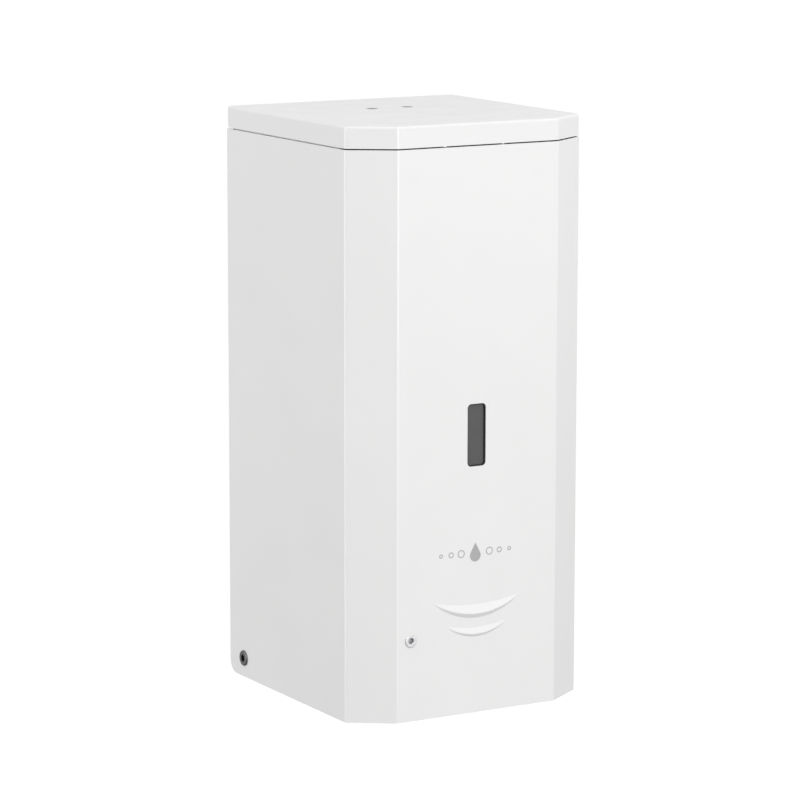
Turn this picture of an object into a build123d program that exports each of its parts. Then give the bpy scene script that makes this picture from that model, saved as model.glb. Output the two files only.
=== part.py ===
"""Wall mounted touch-free soap dispenser, modelled in millimetres.

X runs across the front, Y runs into the wall and Z is up. Every length below is measured with the wall plane at
Y = 0 and the cover's lower edge at Z = 0. export() then moves the model so that its origin is the centre of the four
wall-screw holes, in the wall plane.
"""

import os
from math import acos, asin, atan2, cos, degrees, pi, radians, sin, tan

from build123d import *

# Overall size
WIDTH = 125.0
DEPTH = 128.0
COVER_HEIGHT = 264.2
CHAMFER_X = 20.0
CHAMFER_Y = 13.0
LID_GAP = 0.6
LID_HEIGHT = 10.2

# Sheet steel of the casing
SHEET = 1.2
BEND_RADIUS = 2.0
WALL_GAP = 0.8
CORNER_RADIUS = 6.5

# Cover pivot, at the lower rear corners
PIVOT_Y = -15.0
PIVOT_Z = 9.2
PIVOT_SHANK_R = 2.5
PIVOT_HEAD_R = 3.8
PIVOT_HEAD_H = 0.7
PIVOT_SOCKET = 3.2
RUNNING = 0.06

# Crescents pressed into the cover's front
CRESCENT_LOW_Z = 37.6
CRESCENT_STEP = 9.6
CRESCENT_HEIGHT = 1.05
CRESCENT_RISE = 11.0
CRESCENT_FALL = 1.7
CRESCENT_HALF_ANGLE = radians(33)

# Window and status light in the cover
WINDOW_X = -0.6
WINDOW_Z = 131.1
WINDOW_W = 9.8
WINDOW_H = 29.2
WINDOW_R = 2.0
WINDOW_LIP = 0.35
WINDOW_RECESS = 1.2
STUD_OFFSET = 25.0
LIGHT_X = -35.4
LIGHT_Z = 38.1
LIGHT_RING_R = 3.0
LIGHT_BARREL_R = 2.4
LIGHT_PIPE_R = 1.25

# Back plate and the wall screws
PLATE = 1.5
PLATE_HALF = 60.2
PLATE_BOTTOM = 9.0
BOLT_X = 38.0
BOLT_LOW_Z = 105.0
BOLT_HIGH_Z = 235.0
BOLT_HOLE_R = 3.0
BOLT_CENTRE_Z = (BOLT_LOW_Z + BOLT_HIGH_Z) / 2
FLANGE_HALF = 50.0
FLANGE_DEPTH = 62.0
SIDE_FLANGE = 11.0

# Lid and key holes
LID_BOTTOM = COVER_HEIGHT + LID_GAP
LID_TOP = LID_BOTTOM + LID_HEIGHT
LID_EDGE_R = 1.2
LID_CORNER_R = 1.6
KEY_X = 9.5
KEY_Y = -46.6
KEY_HOLE_R = 3.0
KEY_RIM = 0.35
LID_SCREW_X = 38.0
LID_SCREW_Y = -30.0
FLANGE_BOTTOM = LID_BOTTOM + 0.8
FLANGE_TOP = FLANGE_BOTTOM + PLATE

# Latch
LATCH_Y = -22.0
LATCH_Z = 261.4
LATCH_PIN_R = 1.5
LEVER_HALF = 14.0
LEVER_TOP = 259.6
LEVER_THICK = 1.5
LEVER_FRONT = -122.2
LEVER_TAIL = -8.0
TOOTH_HALF = 6.0
TOOTH_BACK = -118.6
TOOTH_FRONT = -121.6
TOOTH_TOP = 264.1
SPRING_Y = -12.5

# Base housing
HOUSE_HALF = 57.5
HOUSE_FRONT = -112.0
HOUSE_BOTTOM = 3.0
HOUSE_WALL = 2.0
SHELF_TOP = 86.0
PARTITION_L = -12.0
PARTITION_R = 38.5
PARTITION_FRONT = -90.0

# Soap tank
TANK_HALF = 54.0
TANK_BACK = -8.0
TANK_FRONT = -108.0
TANK_TOP = 233.0
TANK_WALL = 1.8
TANK_CORNER = 10.0
NECK_X = 24.0
NECK_Y = -62.0
NECK_R = 20.0
NECK_TOP = 246.0
CAP_R = 23.0
CAP_TOP = 252.0

# Nozzle, hose and peristaltic pump, all on one plane
HOSE_Y = -98.0
HOSE_R = 3.5
HOSE_BORE_R = 2.0
HOSE_BEND = 12.0
LOOP_R = 16.0
ROTOR_X = HOSE_BEND
ROTOR_Z = 44.0
SQUEEZE_GAP = 0.3
ROLLER_R = 4.0
ROLLER_REACH = LOOP_R - HOSE_R - SQUEEZE_GAP
ROLLER_PITCH = ROLLER_REACH - ROLLER_R
ROLLER_PIN_R = 1.0
ROLLERS = 3
PUMP_BACK = PARTITION_FRONT
PUMP_WALL = 2.0
PUMP_FRONT = -104.0
PUMP_TOP = 74.0
PUMP_BOTTOM = 16.0
PUMP_RIGHT = 35.5

# Gear train behind the pump
MODULE = 0.8
PRESSURE_ANGLE = 25.0
BACKLASH = 0.16
PINION_TEETH = 10
WHEEL_TEETH = 36
ROTOR_TEETH = 40
IDLER_Z = ROTOR_Z - MODULE * (ROTOR_TEETH + PINION_TEETH) / 2
MOTOR_Z = IDLER_Z + MODULE * (WHEEL_TEETH + PINION_TEETH) / 2
GEAR_PLATE_Y = -70.0
MOTOR_R = 12.2
MOTOR_BACK = -40.0

# Battery case, for four AA cells lying front to back
CELL_R = 7.2
CELL_LENGTH = 50.5
CASE_X = -34.0
CASE_HALF = 17.0
CASE_BOTTOM = 47.0
CASE_TOP = 84.0
CASE_BACK = -55.0
CASE_FRONT = -112.2
CASE_WALL = 1.5
DOOR_GAP = 0.2

# Circuit board, hand sensor and the holes for their leads
SENSOR_Y = -66.0
MOTOR_LEAD_Y = -25.0
LEAD_Z = 26.0
SENSOR_TOP = 10.0
LEAD_R = 0.7
BOARD_LEFT = -54.0
BOARD_RIGHT = -14.0
BOARD_BACK = -38.0
BOARD_FRONT = -104.0
BOARD_BOTTOM = 12.0
BOARD_THICK = 1.6

HALF = WIDTH / 2
BOARD_TOP = BOARD_BOTTOM + BOARD_THICK
INNER_FRONT = -(DEPTH - SHEET)


# --- helpers -------------------------------------------------------------------------------------------------------


def block(x0, x1, y0, y1, z0, z1):
    """A box between two corners, given in any order."""
    size = (abs(x1 - x0), abs(y1 - y0), abs(z1 - z0))
    return Pos((x0 + x1) / 2, (y0 + y1) / 2, (z0 + z1) / 2) * Box(*size)


def rod_x(r, x0, x1, y, z):
    return Pos((x0 + x1) / 2, y, z) * Rot(0, 90, 0) * Cylinder(r, abs(x1 - x0))


def rod_y(r, x, y0, y1, z):
    return Pos(x, (y0 + y1) / 2, z) * Rot(90, 0, 0) * Cylinder(r, abs(y1 - y0))


def rod_z(r, x, y, z0, z1):
    return Pos(x, y, (z0 + z1) / 2) * Cylinder(r, abs(z1 - z0))


def hex_z(across_flats, z0, z1):
    """A hexagonal prism standing on the origin's axis."""
    return extrude(Pos(0, 0, z0) * RegularPolygon(across_flats / 2, 6, major_radius=False), z1 - z0)


def slab(width, height, radius, thick):
    """A plate with rounded corners, in the XZ plane, centred, from Y = 0 towards -Y."""
    return extrude(Plane.XZ * RectangleRounded(width, height, radius), thick)


def both_sides(shape):
    return shape + mirror(shape, Plane.YZ)


def socket_screw(head_r, head_h, shank_r, length, socket):
    """A button-head screw along Z: the head's seat is at Z = 0 and the shank runs down."""
    head = Cylinder(head_r, head_h, align=(Align.CENTER, Align.CENTER, Align.MIN))
    head = fillet(head.edges().group_by(Axis.Z)[-1], head_h * 0.8)
    shank = rod_z(shank_r, 0, 0, -length, 0.0)
    return head + shank - hex_z(socket, head_h * 0.25, head_h + 1)


def outline(inset, back):
    """The casing's six-sided plan, moved inwards by inset, with its rear edge at Y = back."""
    side_turn = atan2(CHAMFER_X, CHAMFER_Y)
    front_turn = pi / 2 - side_turn
    x_side = HALF - inset
    x_front = HALF - CHAMFER_X - inset * tan(front_turn / 2)
    y_side = -(DEPTH - CHAMFER_Y - inset * tan(side_turn / 2))
    y_front = -(DEPTH - inset)
    right = [(x_front, y_front), (x_side, y_side), (x_side, back)]
    return [(-x, y) for x, y in reversed(right)] + right


def casing_prism(inset, back, z0, z1, radius):
    """The casing's plan extruded from z0 to z1, with its four front corners rounded."""
    solid = Pos(0, 0, z0) * extrude(make_face(Polyline(*outline(inset, back), close=True)), z1 - z0)
    front = solid.edges().filter_by(Axis.Z).sort_by(Axis.Y)[:4]
    return fillet(front, radius)


def tube(points, bend, r):
    """A wire of radius r through points, with an arc of radius bend at each inner point."""
    path = FilletPolyline(*points, radius=bend)
    return sweep(Plane(path @ 0, z_dir=path % 0) * Circle(r), path=path)


def involute(angle):
    return tan(angle) - angle


def gear(teeth, width, bore_r, tooth_at):
    """A spur gear on the Y axis, from Y = 0 to -width. One tooth's centre is at the angle tooth_at."""
    alpha = radians(PRESSURE_ANGLE)
    pitch_r = MODULE * teeth / 2
    base_r = pitch_r * cos(alpha)
    tip_r = pitch_r + 0.8 * MODULE
    root_r = pitch_r - 1.05 * MODULE
    half_pitch = pi / (2 * teeth) - BACKLASH / (4 * pitch_r)
    start_r = max(base_r, root_r)
    flank = [start_r + (tip_r - start_r) * k / 3 for k in range(4)]
    half = [half_pitch + involute(alpha) - involute(acos(base_r / r)) for r in flank]
    rising = [(r, -a) for r, a in zip(flank, half)]
    if base_r > root_r:
        rising = [(root_r, -half[0]), *rising]
    tooth = rising + [(r, -a) for r, a in reversed(rising)]
    points = []
    for k in range(teeth):
        centre = radians(tooth_at) + 2 * pi * k / teeth
        points += [(r * cos(centre + a), r * sin(centre + a)) for r, a in tooth]
    profile = make_face(Polyline(*points, close=True)) - Circle(bore_r)
    return extrude(Plane.XZ * profile, width)


# --- casing --------------------------------------------------------------------------------------------------------


def ridge(middle_z, radius, size):
    """A tapering crescent pressed into the cover's front: the sheet rises gently to the crest and falls steeply below
    it. Its section is turned about an axis tilted so that the crest sinks into the sheet towards both ends."""
    height = CRESCENT_HEIGHT * size
    half_width = radius * sin(CRESCENT_HALF_ANGLE)
    sag = radius - (radius**2 - half_width**2) ** 0.5
    tilt = degrees(asin(height / sag))
    rise, fall = CRESCENT_RISE * size, CRESCENT_FALL * size
    section = [(-1.2 * rise, -0.2 * height), (-0.4, 0.97 * height), (0.1, height), (0.4, 0.88 * height),
               (1.3 * fall, -0.4 * height), (1.3 * fall, -3.0), (-1.2 * rise, -3.0)]
    profile = make_face(Polyline(*[(radius + along, out) for along, out in section], close=True))
    ring = revolve(Plane.XZ * profile, Axis.Z)
    return Pos(0, -DEPTH, middle_z) * Rot(-tilt, 0, 0) * Pos(0, 0, radius) * Rot(90, 0, 0) * ring


def front_cover():
    """Folded sheet: two sides, two chamfers and the front in one piece, with a catch flange at its top."""
    back = -WALL_GAP
    shell = casing_prism(0, back, 0, COVER_HEIGHT, BEND_RADIUS)
    shell -= casing_prism(SHEET, 10, -1, COVER_HEIGHT + 1, BEND_RADIUS - SHEET)
    front_half = block(-HALF, HALF, -DEPTH - 4, INNER_FRONT, 0, COVER_HEIGHT)
    ridges = ridge(CRESCENT_LOW_Z + CRESCENT_STEP, 42.0, 1.0) + ridge(CRESCENT_LOW_Z, 29.0, 0.66)
    shell += ridges & front_half
    shell -= Pos(0, SHEET, 0) * ridges & block(-HALF, HALF, -DEPTH - 4, INNER_FRONT + 0.01, 0, COVER_HEIGHT)
    corner = block(-70, 70, -CORNER_RADIUS, 5, -5, CORNER_RADIUS)
    corner -= rod_x(CORNER_RADIUS, -71, 71, back - CORNER_RADIUS, CORNER_RADIUS)
    shell -= corner - block(-70, 70, -CORNER_RADIUS - 1, back - CORNER_RADIUS, -5, CORNER_RADIUS)
    shell += block(-38, 38, INNER_FRONT, -116.5, COVER_HEIGHT - SHEET, COVER_HEIGHT)
    shell -= block(-10, 10, -123.5, -110, COVER_HEIGHT - 3, COVER_HEIGHT + 1)
    shell -= rod_x(PIVOT_SHANK_R + RUNNING, -HALF - 1, HALF + 1, PIVOT_Y, PIVOT_Z)
    shell -= on_front(slab(WINDOW_W, WINDOW_H, WINDOW_R, 8), 5)
    shell -= rod_y(LIGHT_BARREL_R, LIGHT_X, -DEPTH - 2, -DEPTH + 5, LIGHT_Z)
    shell -= catch_rivet_rods(1.5)
    for side in (-1, 1):
        shell += rod_y(1.5, WINDOW_X, INNER_FRONT, INNER_FRONT + 5.6, WINDOW_Z + side * STUD_OFFSET)
    return shell


def top_lid():
    """Shallow steel pan, open below, with two key holes, two threaded bosses under it and a strip inside each side that
    laps behind the cover's upper edge."""
    lid = casing_prism(0.2, -0.3, LID_BOTTOM, LID_TOP, BEND_RADIUS)
    lid = fillet(lid.edges().filter_by(Axis.Z).sort_by(Axis.Y)[-2:], LID_CORNER_R)
    lid = fillet(lid.edges().group_by(Axis.Z)[-1], LID_EDGE_R)
    lid -= casing_prism(0.2 + SHEET, -0.3 - SHEET, LID_BOTTOM - 1, LID_TOP - SHEET, BEND_RADIUS - SHEET)
    for side in (-1, 1):
        lid -= rod_z(KEY_HOLE_R, side * KEY_X, KEY_Y, LID_TOP - 3, LID_TOP + 1)
        relief = Cone(KEY_HOLE_R + 1.6, KEY_HOLE_R, SHEET - KEY_RIM, align=(Align.CENTER, Align.CENTER, Align.MAX))
        lid -= Pos(side * KEY_X, KEY_Y, LID_TOP - KEY_RIM) * relief
        boss = rod_z(4.5, side * LID_SCREW_X, LID_SCREW_Y, FLANGE_TOP, LID_TOP - SHEET)
        lid += boss - rod_z(2.0, side * LID_SCREW_X, LID_SCREW_Y, FLANGE_TOP - 1, LID_TOP - SHEET - 1)
    notch = block(-FLANGE_HALF - 1, FLANGE_HALF + 1, -2, 1, LID_BOTTOM - 1, FLANGE_TOP + 0.3)
    lap_out = HALF - SHEET - 0.3
    lap = block(lap_out - 0.8, lap_out, -4, -108, COVER_HEIGHT - 1.6, LID_BOTTOM + 4)
    lap += block(lap_out - 0.8, lap_out + 0.3, -4, -108, LID_BOTTOM, LID_BOTTOM + 4)
    return lid - notch + both_sides(lap)


def lid_screws():
    screw = socket_screw(3.8, 2.2, 2.0, 6.5, 2.5)
    turned = Pos(LID_SCREW_X, LID_SCREW_Y, FLANGE_BOTTOM) * Rot(180, 0, 0) * screw
    return both_sides(turned)


def back_plate():
    """Folded wall plate: side flanges, hinge ears at the bottom and a shelf at the top that carries lid and latch."""
    plate = block(-PLATE_HALF, PLATE_HALF, 0, -PLATE, PLATE_BOTTOM, 262)
    plate += block(-FLANGE_HALF, FLANGE_HALF, 0, -PLATE, 262, FLANGE_TOP)
    plate += block(-FLANGE_HALF, FLANGE_HALF, 0, -FLANGE_DEPTH, FLANGE_BOTTOM, FLANGE_TOP)
    side = block(PLATE_HALF - PLATE, PLATE_HALF, 0, -SIDE_FLANGE, PLATE_BOTTOM, 262)
    ear = block(PLATE_HALF - PLATE, PLATE_HALF, 0, PIVOT_Y, PIVOT_Z, PIVOT_Z + 10)
    ear += rod_x(7.5, PLATE_HALF - PLATE, PLATE_HALF, PIVOT_Y, PIVOT_Z)
    ear += block(PLATE_HALF - PLATE, PLATE_HALF, PIVOT_Y, PIVOT_Y - 7.5, PIVOT_Z, PIVOT_Z + 3)
    plate += both_sides(side + ear)
    plate -= rod_x(PIVOT_SHANK_R, -PLATE_HALF - 1, PLATE_HALF + 1, PIVOT_Y, PIVOT_Z)
    for x in (-BOLT_X, BOLT_X):
        for z in (BOLT_LOW_Z, BOLT_HIGH_Z):
            plate -= rod_y(BOLT_HOLE_R, x, -3, 1, z)
    for x in (-45, 45):
        for z in (20, 75):
            plate -= rod_y(2.0, x, -3, 1, z)
    for side_x in (-1, 1):
        plate -= rod_z(3.5, side_x * KEY_X, KEY_Y, FLANGE_BOTTOM - 1, FLANGE_TOP + 1)
        plate -= rod_z(2.0, side_x * LID_SCREW_X, LID_SCREW_Y, FLANGE_BOTTOM - 1, FLANGE_TOP + 1)
    return plate


def pivot_screws():
    """Two shouldered button-head screws on which the cover turns."""
    length = HALF - (PLATE_HALF - PLATE) + 3.2
    screw = socket_screw(PIVOT_HEAD_R, PIVOT_HEAD_H, PIVOT_SHANK_R, length, PIVOT_SOCKET)
    screw -= hex_z(PIVOT_SOCKET, -1.6, 1)
    return both_sides(Pos(HALF + 0.05, PIVOT_Y, PIVOT_Z) * Rot(0, 90, 0) * screw)


def pivot_washers():
    washer = rod_x(5.0, PLATE_HALF + 0.02, HALF - SHEET - 0.1, PIVOT_Y, PIVOT_Z)
    washer -= rod_x(PIVOT_SHANK_R, PLATE_HALF - 1, HALF, PIVOT_Y, PIVOT_Z)
    return both_sides(washer)


def pivot_nuts():
    nut = hex_z(8.0, 0, 3.0) - rod_z(PIVOT_SHANK_R, 0, 0, -1, 4)
    return both_sides(Pos(PLATE_HALF - PLATE - 3.0, PIVOT_Y, PIVOT_Z) * Rot(0, 90, 0) * nut)


# --- window and status light in the cover --------------------------------------------------------------------------


def on_front(shape, depth_in):
    """Places a piece made with its face at Y = 0 on the window's axis, depth_in behind the cover's outer face."""
    return Pos(WINDOW_X, -DEPTH + depth_in, WINDOW_Z) * shape


def window_slab(thick):
    """A plate that fits inside the gasket's lip."""
    return slab(WINDOW_W - 2 * WINDOW_LIP, WINDOW_H - 2 * WINDOW_LIP, WINDOW_R - WINDOW_LIP, thick)


def window_gasket():
    """Rubber frame behind the sheet, with a lip that lines the hole."""
    frame = on_front(slab(18, 38, 3, 0.8), SHEET + 0.8)
    lip = on_front(slab(WINDOW_W, WINDOW_H, WINDOW_R, 1.0), SHEET)
    return frame + lip - on_front(window_slab(6), 4)


def level_window():
    """Smoke-tinted lens: a rounded face in the hole and a flange behind the gasket."""
    back = SHEET + 2.0
    face = on_front(window_slab(back - WINDOW_RECESS), back)
    face = fillet(face.edges().group_by(Axis.Y)[0], 0.3)
    flange = on_front(slab(16, 36, 2.5, 1.6), SHEET + 2.4)
    return face + flange


def window_retainer():
    """Steel frame that clamps the lens on the cover's two studs."""
    frame = on_front(slab(20, 58, 3, 1.0), SHEET + 3.4)
    frame -= on_front(slab(8, 28, 1.5, 6), SHEET + 6)
    for side in (-1, 1):
        frame -= rod_y(1.5, WINDOW_X, -DEPTH, -DEPTH + 10, WINDOW_Z + side * STUD_OFFSET)
    return frame


def retainer_nuts():
    nut = hex_z(5.5, 0, 2.0) - rod_z(1.5, 0, 0, -1, 3)
    nuts = None
    for side in (-1, 1):
        y = -DEPTH + SHEET + 5.4
        placed = Pos(WINDOW_X, y, WINDOW_Z + side * STUD_OFFSET) * Rot(90, 0, 0) * nut
        nuts = placed if nuts is None else nuts + placed
    return nuts


def light_axis(shape):
    """Stands a piece made along Z on the light's axis: Z = 0 at the cover's outer face, +Z forwards."""
    return Pos(LIGHT_X, -DEPTH, LIGHT_Z) * Rot(90, 0, 0) * shape


def light_bezel():
    """Low ring on the cover's face and a barrel behind it, with a slight chamfer at the light pipe."""
    ring = Cylinder(LIGHT_RING_R, 0.5, align=(Align.CENTER, Align.CENTER, Align.MIN))
    ring = fillet(ring.edges().group_by(Axis.Z)[-1], 0.25)
    barrel = rod_z(LIGHT_BARREL_R, 0, 0, -8, 0.2)
    dish = Pos(0, 0, 0.4) * Cone(LIGHT_PIPE_R, LIGHT_PIPE_R + 0.4, 0.4)
    return light_axis(ring + barrel - rod_z(LIGHT_PIPE_R, 0, 0, -9, 1) - dish)


def light_pipe():
    """Clear rod with a domed end, from the lamp to just inside the bezel's mouth."""
    pipe = rod_z(LIGHT_PIPE_R, 0, 0, -10, -0.3)
    return light_axis(fillet(pipe.edges().group_by(Axis.Z)[-1], 0.8))


def bezel_nut():
    return light_axis(hex_z(8, -SHEET - 2.5, -SHEET) - rod_z(LIGHT_BARREL_R, 0, 0, -5, 0))


# --- catch and latch -----------------------------------------------------------------------------------------------


def catch_rivet_rods(r):
    low, high = COVER_HEIGHT - 2.9, COVER_HEIGHT + 0.35
    return both_sides(rod_z(r, 15.5, -122, low, high))


def cover_catch():
    """Spring-steel strip under the cover's top flange: its slot snaps over the latch's tooth."""
    top = COVER_HEIGHT - SHEET
    strip = block(-19, 19, -126.2, -116, top - 0.6, top)
    strip -= block(-7, 7, -122.5, -118.3, top - 2, top + 1)
    return strip - catch_rivet_rods(1.5)


def catch_rivets():
    """Two rivets that hold the catch to the cover's flange."""
    head = both_sides(rod_z(2.6, 15.5, -122, COVER_HEIGHT - 2.9, COVER_HEIGHT - SHEET - 0.6))
    return catch_rivet_rods(1.5) + head + both_sides(rod_z(2.6, 15.5, -122, COVER_HEIGHT, COVER_HEIGHT + 0.35))


def latch_bracket():
    """Saddle under the plate's top shelf that carries the latch's pin."""
    web = block(-18, 18, -28, -16, FLANGE_BOTTOM - SHEET, FLANGE_BOTTOM)
    ear = block(16.8, 18, -26, -18, LATCH_Z - 3.5, FLANGE_BOTTOM)
    return web + both_sides(ear) - latch_rod(LATCH_PIN_R, 30)


def latch_rod(r, half_length):
    return rod_x(r, -half_length, half_length, LATCH_Y, LATCH_Z)


def latch_pin():
    head = both_sides(rod_x(2.6, 18.0, 19.0, LATCH_Y, LATCH_Z))
    return latch_rod(LATCH_PIN_R, 18.5) + head


def latch_lever():
    """Steel lever from the spring at the back to the tooth at the front, with a stiffening rib down each side."""
    bottom = LEVER_TOP - LEVER_THICK
    lever = block(-LEVER_HALF, LEVER_HALF, LEVER_TAIL, LEVER_FRONT, bottom, LEVER_TOP)
    lever = fillet(lever.edges().filter_by(Axis.Z), 3.0)
    ear = block(LEVER_HALF - 1.5, LEVER_HALF, LATCH_Y - 3, LATCH_Y + 3, bottom, LATCH_Z + 2.6)
    rib = block(LEVER_HALF - 1.5, LEVER_HALF, -34, -112, LEVER_TOP - 4.0, LEVER_TOP)
    tooth = Polyline((TOOTH_BACK, LEVER_TOP - 0.5), (TOOTH_BACK, TOOTH_TOP), (TOOTH_BACK - 1.0, TOOTH_TOP),
                     (TOOTH_FRONT, TOOTH_TOP - 2.3), (TOOTH_FRONT, LEVER_TOP - 0.5), close=True)
    tooth = extrude(Plane.YZ.offset(-TOOTH_HALF) * make_face(tooth), 2 * TOOTH_HALF)
    return lever + both_sides(ear + rib) + tooth - latch_rod(LATCH_PIN_R + RUNNING, 30)


def latch_pads():
    """Two plastic studs that the key's pins press on."""
    pad = rod_z(3.0, KEY_X, KEY_Y, LEVER_TOP, LEVER_TOP + 3.2)
    return both_sides(fillet(pad.edges().group_by(Axis.Z)[-1], 0.6))


def latch_spring():
    """Compression spring between the shelf and the lever's tail."""
    height = FLANGE_BOTTOM - LEVER_TOP
    wire_r = 0.4
    path = Helix(pitch=(height - 2 * wire_r) / 4, height=height - 2 * wire_r, radius=2.6)
    coil = sweep(Plane(path @ 0, z_dir=path % 0) * Circle(wire_r), path=path, is_frenet=True)
    return Pos(0, SPRING_Y, LEVER_TOP + wire_r) * coil


# --- base housing --------------------------------------------------------------------------------------------------


def base_housing():
    """Moulded housing, open to the front: bays for the batteries and board, the pump, and a spare, under the tank's
    shelf."""
    back = -PLATE
    body = block(-HOUSE_HALF, HOUSE_HALF, back, HOUSE_FRONT, HOUSE_BOTTOM, SHELF_TOP)
    body = fillet(body.edges().filter_by(Axis.X).sort_by(Axis.Y)[:2].sort_by(Axis.Z)[0], 3.0)
    body -= block(-HOUSE_HALF + HOUSE_WALL, HOUSE_HALF - HOUSE_WALL, back - HOUSE_WALL, HOUSE_FRONT - 5,
                  HOUSE_BOTTOM + HOUSE_WALL, SHELF_TOP - HOUSE_WALL)
    floor, ceiling = HOUSE_BOTTOM + HOUSE_WALL, SHELF_TOP - HOUSE_WALL
    for x in (PARTITION_L, PARTITION_R):
        body += block(x, x + HOUSE_WALL, back - 1, PARTITION_FRONT, floor, ceiling)
    for x, z in PUMP_MOUNTS:
        body += rod_y(3.2, x, PARTITION_FRONT + 10, PARTITION_FRONT, z)
    body += block(-HOUSE_HALF + 1, BOARD_LEFT + 4, CASE_BACK, CASE_FRONT + 5, CASE_BOTTOM - 2, CASE_BOTTOM)
    body += block(BOARD_RIGHT - 4, PARTITION_L + 1, CASE_BACK, PARTITION_FRONT, CASE_BOTTOM - 2, CASE_BOTTOM)
    body += block(-50, 50, TANK_FRONT - 0.8, TANK_FRONT - 2.8, SHELF_TOP - 1, SHELF_TOP + 5)
    for x, y in board_corners():
        body += rod_z(3.0, x, y, floor - 1, BOARD_BOTTOM)
        body -= rod_z(M25_R, x, y, BOARD_TOP - M25_LENGTH, BOARD_BOTTOM + 1)
    body -= rod_z(9.0, 0, HOSE_Y, SHELF_TOP - 5, SHELF_TOP + 1)
    body -= rod_z(5.0, 0, HOSE_Y, HOUSE_BOTTOM - 1, floor + 1)
    body -= block(-9, 9, SENSOR_Y + 5, SENSOR_Y - 5, HOUSE_BOTTOM - 1, floor + 1)
    body -= rod_x(4.0, PARTITION_L - 1, PARTITION_L + 3, MOTOR_LEAD_Y, LEAD_Z)
    body -= rod_x(3.0, PARTITION_L - 1, PARTITION_L + 3, SENSOR_Y, LEAD_Z)
    for x in (-45, 45):
        for z in (20, 75):
            body -= rod_y(2.0, x, -6, 1, z)
    body -= pump_screw_rods(M25_R)
    # The hinge ears and their nuts stand inside the lower rear corners.
    return body - both_sides(block(54.5, 60, 0, -24, 0, 19))


def housing_screws():
    screws = None
    for x in (-45, 45):
        for z in (20, 75):
            screw = socket_screw(3.8, 2.4, 2.0, HOUSE_WALL + PLATE - 0.1, 2.5)
            placed = Pos(x, -PLATE - HOUSE_WALL, z) * Rot(90, 0, 0) * screw
            screws = placed if screws is None else screws + placed
    return screws


# --- tank ----------------------------------------------------------------------------------------------------------


def tank_block(inset):
    """The tank's rounded block, moved inwards by inset."""
    solid = block(-TANK_HALF + inset, TANK_HALF - inset, TANK_BACK - inset, TANK_FRONT + inset,
                  SHELF_TOP + inset, TANK_TOP - inset)
    solid = fillet(solid.edges().filter_by(Axis.Z), TANK_CORNER - inset)
    solid = fillet(solid.edges().group_by(Axis.Z)[-1], TANK_CORNER - 2 - inset)
    return fillet(solid.edges().group_by(Axis.Z)[0], 5.0 - inset)


def soap_tank():
    """Blow-moulded tank with its filler neck on top and its outlet spigot below."""
    tank = tank_block(0) + rod_z(NECK_R, NECK_X, NECK_Y, TANK_TOP - 3, NECK_TOP)
    tank += rod_z(5.0, 0, HOSE_Y, SHELF_TOP - 8, SHELF_TOP + 4)
    for x in (-1, 1):
        groove = block(x * TANK_HALF, x * (TANK_HALF - 3), -40, -76, 120, 190)
        tank -= fillet(groove.edges().filter_by(Axis.X), 6)
    for angle in (0, 180):
        lug = block(NECK_R - 1, NECK_R + 0.9, -4, 4, NECK_TOP - 5, NECK_TOP - 2.5)
        tank += Pos(NECK_X, NECK_Y, 0) * Rot(0, 0, angle) * lug
    hollow = tank_block(TANK_WALL)
    for x in (-1, 1):
        hollow -= block(x * TANK_HALF, x * (TANK_HALF - 3 - TANK_WALL), -38, -78, 118, 192)
    return tank - hollow - rod_z(NECK_R - 2, NECK_X, NECK_Y, TANK_TOP - 6, NECK_TOP + 1) - rod_z(
        3.2, 0, HOSE_Y, SHELF_TOP - 9, SHELF_TOP + 5)


def filler_seal():
    ring = rod_z(NECK_R, NECK_X, NECK_Y, NECK_TOP, NECK_TOP + 1.5)
    return ring - rod_z(NECK_R - 2, NECK_X, NECK_Y, NECK_TOP - 1, NECK_TOP + 3)


def filler_cap():
    """Quarter-turn cap with a fluted rim, a grip bar across its top and two teeth under the neck's lugs."""
    bottom = NECK_TOP - 8
    cap = rod_z(CAP_R, 0, 0, bottom, CAP_TOP - 2)
    cap = fillet(cap.edges().group_by(Axis.Z)[-1], 1.0)
    cap -= rod_z(NECK_R + 1.5, 0, 0, bottom - 1, NECK_TOP + 1.8)
    for angle in (0, 180):
        cap += Rot(0, 0, angle) * block(NECK_R + 0.3, NECK_R + 2, -4, 4, bottom, NECK_TOP - 5.2)
    for k in range(24):
        cap -= Rot(0, 0, 15 * k) * rod_z(1.1, CAP_R + 0.5, 0, bottom - 1, CAP_TOP)
    grip = block(-16, 16, -3, 3, CAP_TOP - 2.2, CAP_TOP)
    cap += fillet(grip.edges().filter_by(Axis.Z), 2.9)
    return Pos(NECK_X, NECK_Y, 0) * cap


def tank_clips():
    """Two steel angles, welded to the back plate, whose tongues hold the tank's rear edge down."""
    angle = block(13, 27, -PLATE, -PLATE - 1.2, TANK_TOP, TANK_TOP + 14)
    tongue = block(13, 27, -PLATE, -26, TANK_TOP, TANK_TOP + 1.2)
    return both_sides(angle + tongue)


def tank_seal():
    """Rubber ring in the inlet fitting, around the tank's spigot."""
    low = SHELF_TOP - 8
    return rod_z(7.0, 0, HOSE_Y, low, low + 5) - rod_z(5.0, 0, HOSE_Y, low - 1, low + 6)


def inlet_fitting():
    """Cup that the tank's spigot plugs into, with a barb for the hose."""
    cup = rod_z(9.0, 0, HOSE_Y, SHELF_TOP - 10, SHELF_TOP)
    cup += rod_z(12.0, 0, HOSE_Y, SHELF_TOP - 4.5, SHELF_TOP - HOUSE_WALL)
    cup -= rod_z(7.0, 0, HOSE_Y, SHELF_TOP - 8, SHELF_TOP + 1)
    barb = rod_z(HOSE_BORE_R, 0, HOSE_Y, SHELF_TOP - 15, SHELF_TOP - 9)
    return cup + barb - rod_z(1.2, 0, HOSE_Y, SHELF_TOP - 16, SHELF_TOP)


# --- hose, nozzle and pump -----------------------------------------------------------------------------------------


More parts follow.
